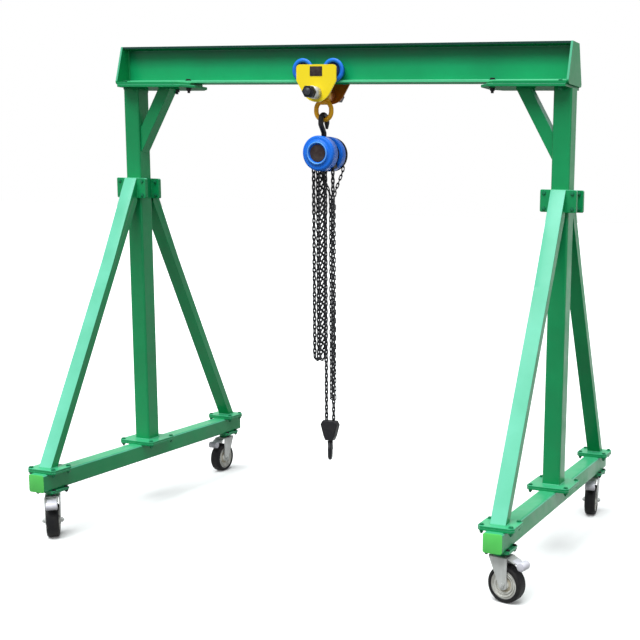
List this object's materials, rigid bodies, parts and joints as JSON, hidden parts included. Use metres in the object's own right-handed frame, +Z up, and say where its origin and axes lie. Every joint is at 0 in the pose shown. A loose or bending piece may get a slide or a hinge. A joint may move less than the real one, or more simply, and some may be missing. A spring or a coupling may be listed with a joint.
{
  "type": "portable gantry crane",
  "caption": "Portable gantry crane: an I-beam on A-frame legs with swivel casters, carrying a push trolley and a hand chain hoist.",
  "frame": {"origin": "on the floor under the middle of the beam", "axes": "+X along the beam to the right, +Y to the rear across the beam, +Z up"},
  "size_m": [2.4875, 1.6093, 2.33],
  "materials": {
    "green_paint": "semi-gloss enamel",
    "caster_steel": "zinc plated",
    "hub_grey": "smooth",
    "tyre_black": "matte",
    "yellow_paint": "semi-gloss enamel",
    "blue_paint": "gloss enamel",
    "bar_steel": "turned",
    "black_steel": "black oxide",
    "chain_steel": "black oxide"
  },
  "bodies": {
    "root": {"main_beam": "green_paint", "left_beam_shoe": "green_paint", "right_beam_shoe": "green_paint", "left_head_plate": "green_paint", "right_head_plate": "green_paint", "left_post": "green_paint", "right_post": "green_paint", "left_knee_brace": "green_paint", "right_knee_brace": "green_paint", "left_front_brace": "green_paint", "right_front_brace": "green_paint", "left_rear_brace": "green_paint", "right_rear_brace": "green_paint", "left_base_beam": "green_paint", "right_base_beam": "green_paint", "front_left_top_plate": "green_paint", "front_right_top_plate": "green_paint", "rear_left_top_plate": "green_paint", "rear_right_top_plate": "green_paint"},
    "front_left_swivel": {"front_left_fork": "caster_steel"},
    "front_left_wheel": {"front_left_hub": "hub_grey", "front_left_tyre": "tyre_black"},
    "front_right_swivel": {"front_right_fork": "caster_steel"},
    "front_right_wheel": {"front_right_hub": "hub_grey", "front_right_tyre": "tyre_black"},
    "rear_left_swivel": {"rear_left_fork": "caster_steel"},
    "rear_left_wheel": {"rear_left_hub": "hub_grey", "rear_left_tyre": "tyre_black"},
    "rear_right_swivel": {"rear_right_fork": "caster_steel"},
    "rear_right_wheel": {"rear_right_hub": "hub_grey", "rear_right_tyre": "tyre_black"},
    "trolley": {"trolley_front_plate": "yellow_paint", "trolley_rear_plate": "yellow_paint", "suspension_bar": "bar_steel", "front_bar_nut": "black_steel", "rear_bar_nut": "black_steel"},
    "front_left_trolley_wheel": {"front_left_trolley_wheel": "blue_paint"},
    "front_right_trolley_wheel": {"front_right_trolley_wheel": "blue_paint"},
    "rear_left_trolley_wheel": {"rear_left_trolley_wheel": "blue_paint"},
    "rear_right_trolley_wheel": {"rear_right_trolley_wheel": "blue_paint"},
    "lug": {"lifting_lug": "yellow_paint"},
    "hoist": {"top_hook": "black_steel", "front_cover": "blue_paint", "rear_cover": "blue_paint", "hoist_frame": "black_steel", "hand_wheel": "black_steel", "load_chain": "chain_steel", "slack_chain": "chain_steel", "hand_chain": "chain_steel", "hook_block": "black_steel"},
    "load_hook": {"load_hook": "black_steel"},
    "latch": {"hook_latch": "black_steel"}
  },
  "joints": [
    {"name": "front_left_swivel_turn", "type": "hinge", "parent": "root", "child": "front_left_swivel", "pos_m": [-1.135, -0.705, 0.199], "axis": [0, 0, 1], "continuous": true},
    {"name": "front_left_wheel_roll", "type": "hinge", "parent": "front_left_swivel", "child": "front_left_wheel", "pos_m": [-1.1136, -0.73142, 0.08], "axis": [0.7771, 0.6293, 0], "continuous": true},
    {"name": "front_right_swivel_turn", "type": "hinge", "parent": "root", "child": "front_right_swivel", "pos_m": [1.135, -0.705, 0.199], "axis": [0, 0, 1], "continuous": true},
    {"name": "front_right_wheel_roll", "type": "hinge", "parent": "front_right_swivel", "child": "front_right_wheel", "pos_m": [1.16813, -0.71265, 0.08], "axis": [0.225, 0.9744, 0], "continuous": true},
    {"name": "rear_left_swivel_turn", "type": "hinge", "parent": "root", "child": "rear_left_swivel", "pos_m": [-1.135, 0.705, 0.199], "axis": [0, 0, 1], "continuous": true},
    {"name": "rear_left_wheel_roll", "type": "hinge", "parent": "rear_left_swivel", "child": "rear_left_wheel", "pos_m": [-1.135, 0.671, 0.08], "axis": [1, 0, 0], "continuous": true},
    {"name": "rear_right_swivel_turn", "type": "hinge", "parent": "root", "child": "rear_right_swivel", "pos_m": [1.135, 0.705, 0.199], "axis": [0, 0, 1], "continuous": true},
    {"name": "rear_right_wheel_roll", "type": "hinge", "parent": "rear_right_swivel", "child": "rear_right_wheel", "pos_m": [1.13973, 0.67133, 0.08], "axis": [0.9903, 0.1392, 0], "continuous": true},
    {"name": "trolley_travel", "type": "slide", "parent": "root", "child": "trolley", "axis": [1, 0, 0], "range_m": [-0.56, 0.7]},
    {"name": "front_left_trolley_wheel_roll", "type": "hinge", "parent": "trolley", "child": "front_left_trolley_wheel", "pos_m": [-0.15, -0.05, 2.211], "axis": [0, 1, 0], "continuous": true},
    {"name": "front_right_trolley_wheel_roll", "type": "hinge", "parent": "trolley", "child": "front_right_trolley_wheel", "pos_m": [0.01, -0.05, 2.211], "axis": [0, 1, 0], "continuous": true},
    {"name": "rear_left_trolley_wheel_roll", "type": "hinge", "parent": "trolley", "child": "rear_left_trolley_wheel", "pos_m": [-0.15, 0.05, 2.211], "axis": [0, 1, 0], "continuous": true},
    {"name": "rear_right_trolley_wheel_roll", "type": "hinge", "parent": "trolley", "child": "rear_right_trolley_wheel", "pos_m": [0.01, 0.05, 2.211], "axis": [0, 1, 0], "continuous": true},
    {"name": "lug_swing", "type": "hinge", "parent": "trolley", "child": "lug", "pos_m": [-0.07, 0, 2.106], "axis": [0, 1, 0], "range_deg": [-10, 10]},
    {"name": "hoist_tilt", "type": "hinge", "parent": "lug", "child": "hoist", "pos_m": [-0.07, 0, 1.987], "axis": [1, 0, 0], "range_deg": [-10, 10]},
    {"name": "hook_swivel", "type": "hinge", "parent": "hoist", "child": "load_hook", "pos_m": [-0.043, 0, 0.424], "axis": [0, 0, 1], "continuous": true},
    {"name": "latch_open", "type": "hinge", "parent": "load_hook", "child": "latch", "pos_m": [-0.043, 0, 0.414], "axis": [-0.9135, -0.4067, 0], "range_deg": [0, 30], "stiffness_Nm_per_rad": 0.03, "springref_deg": -22.92}
  ]
}
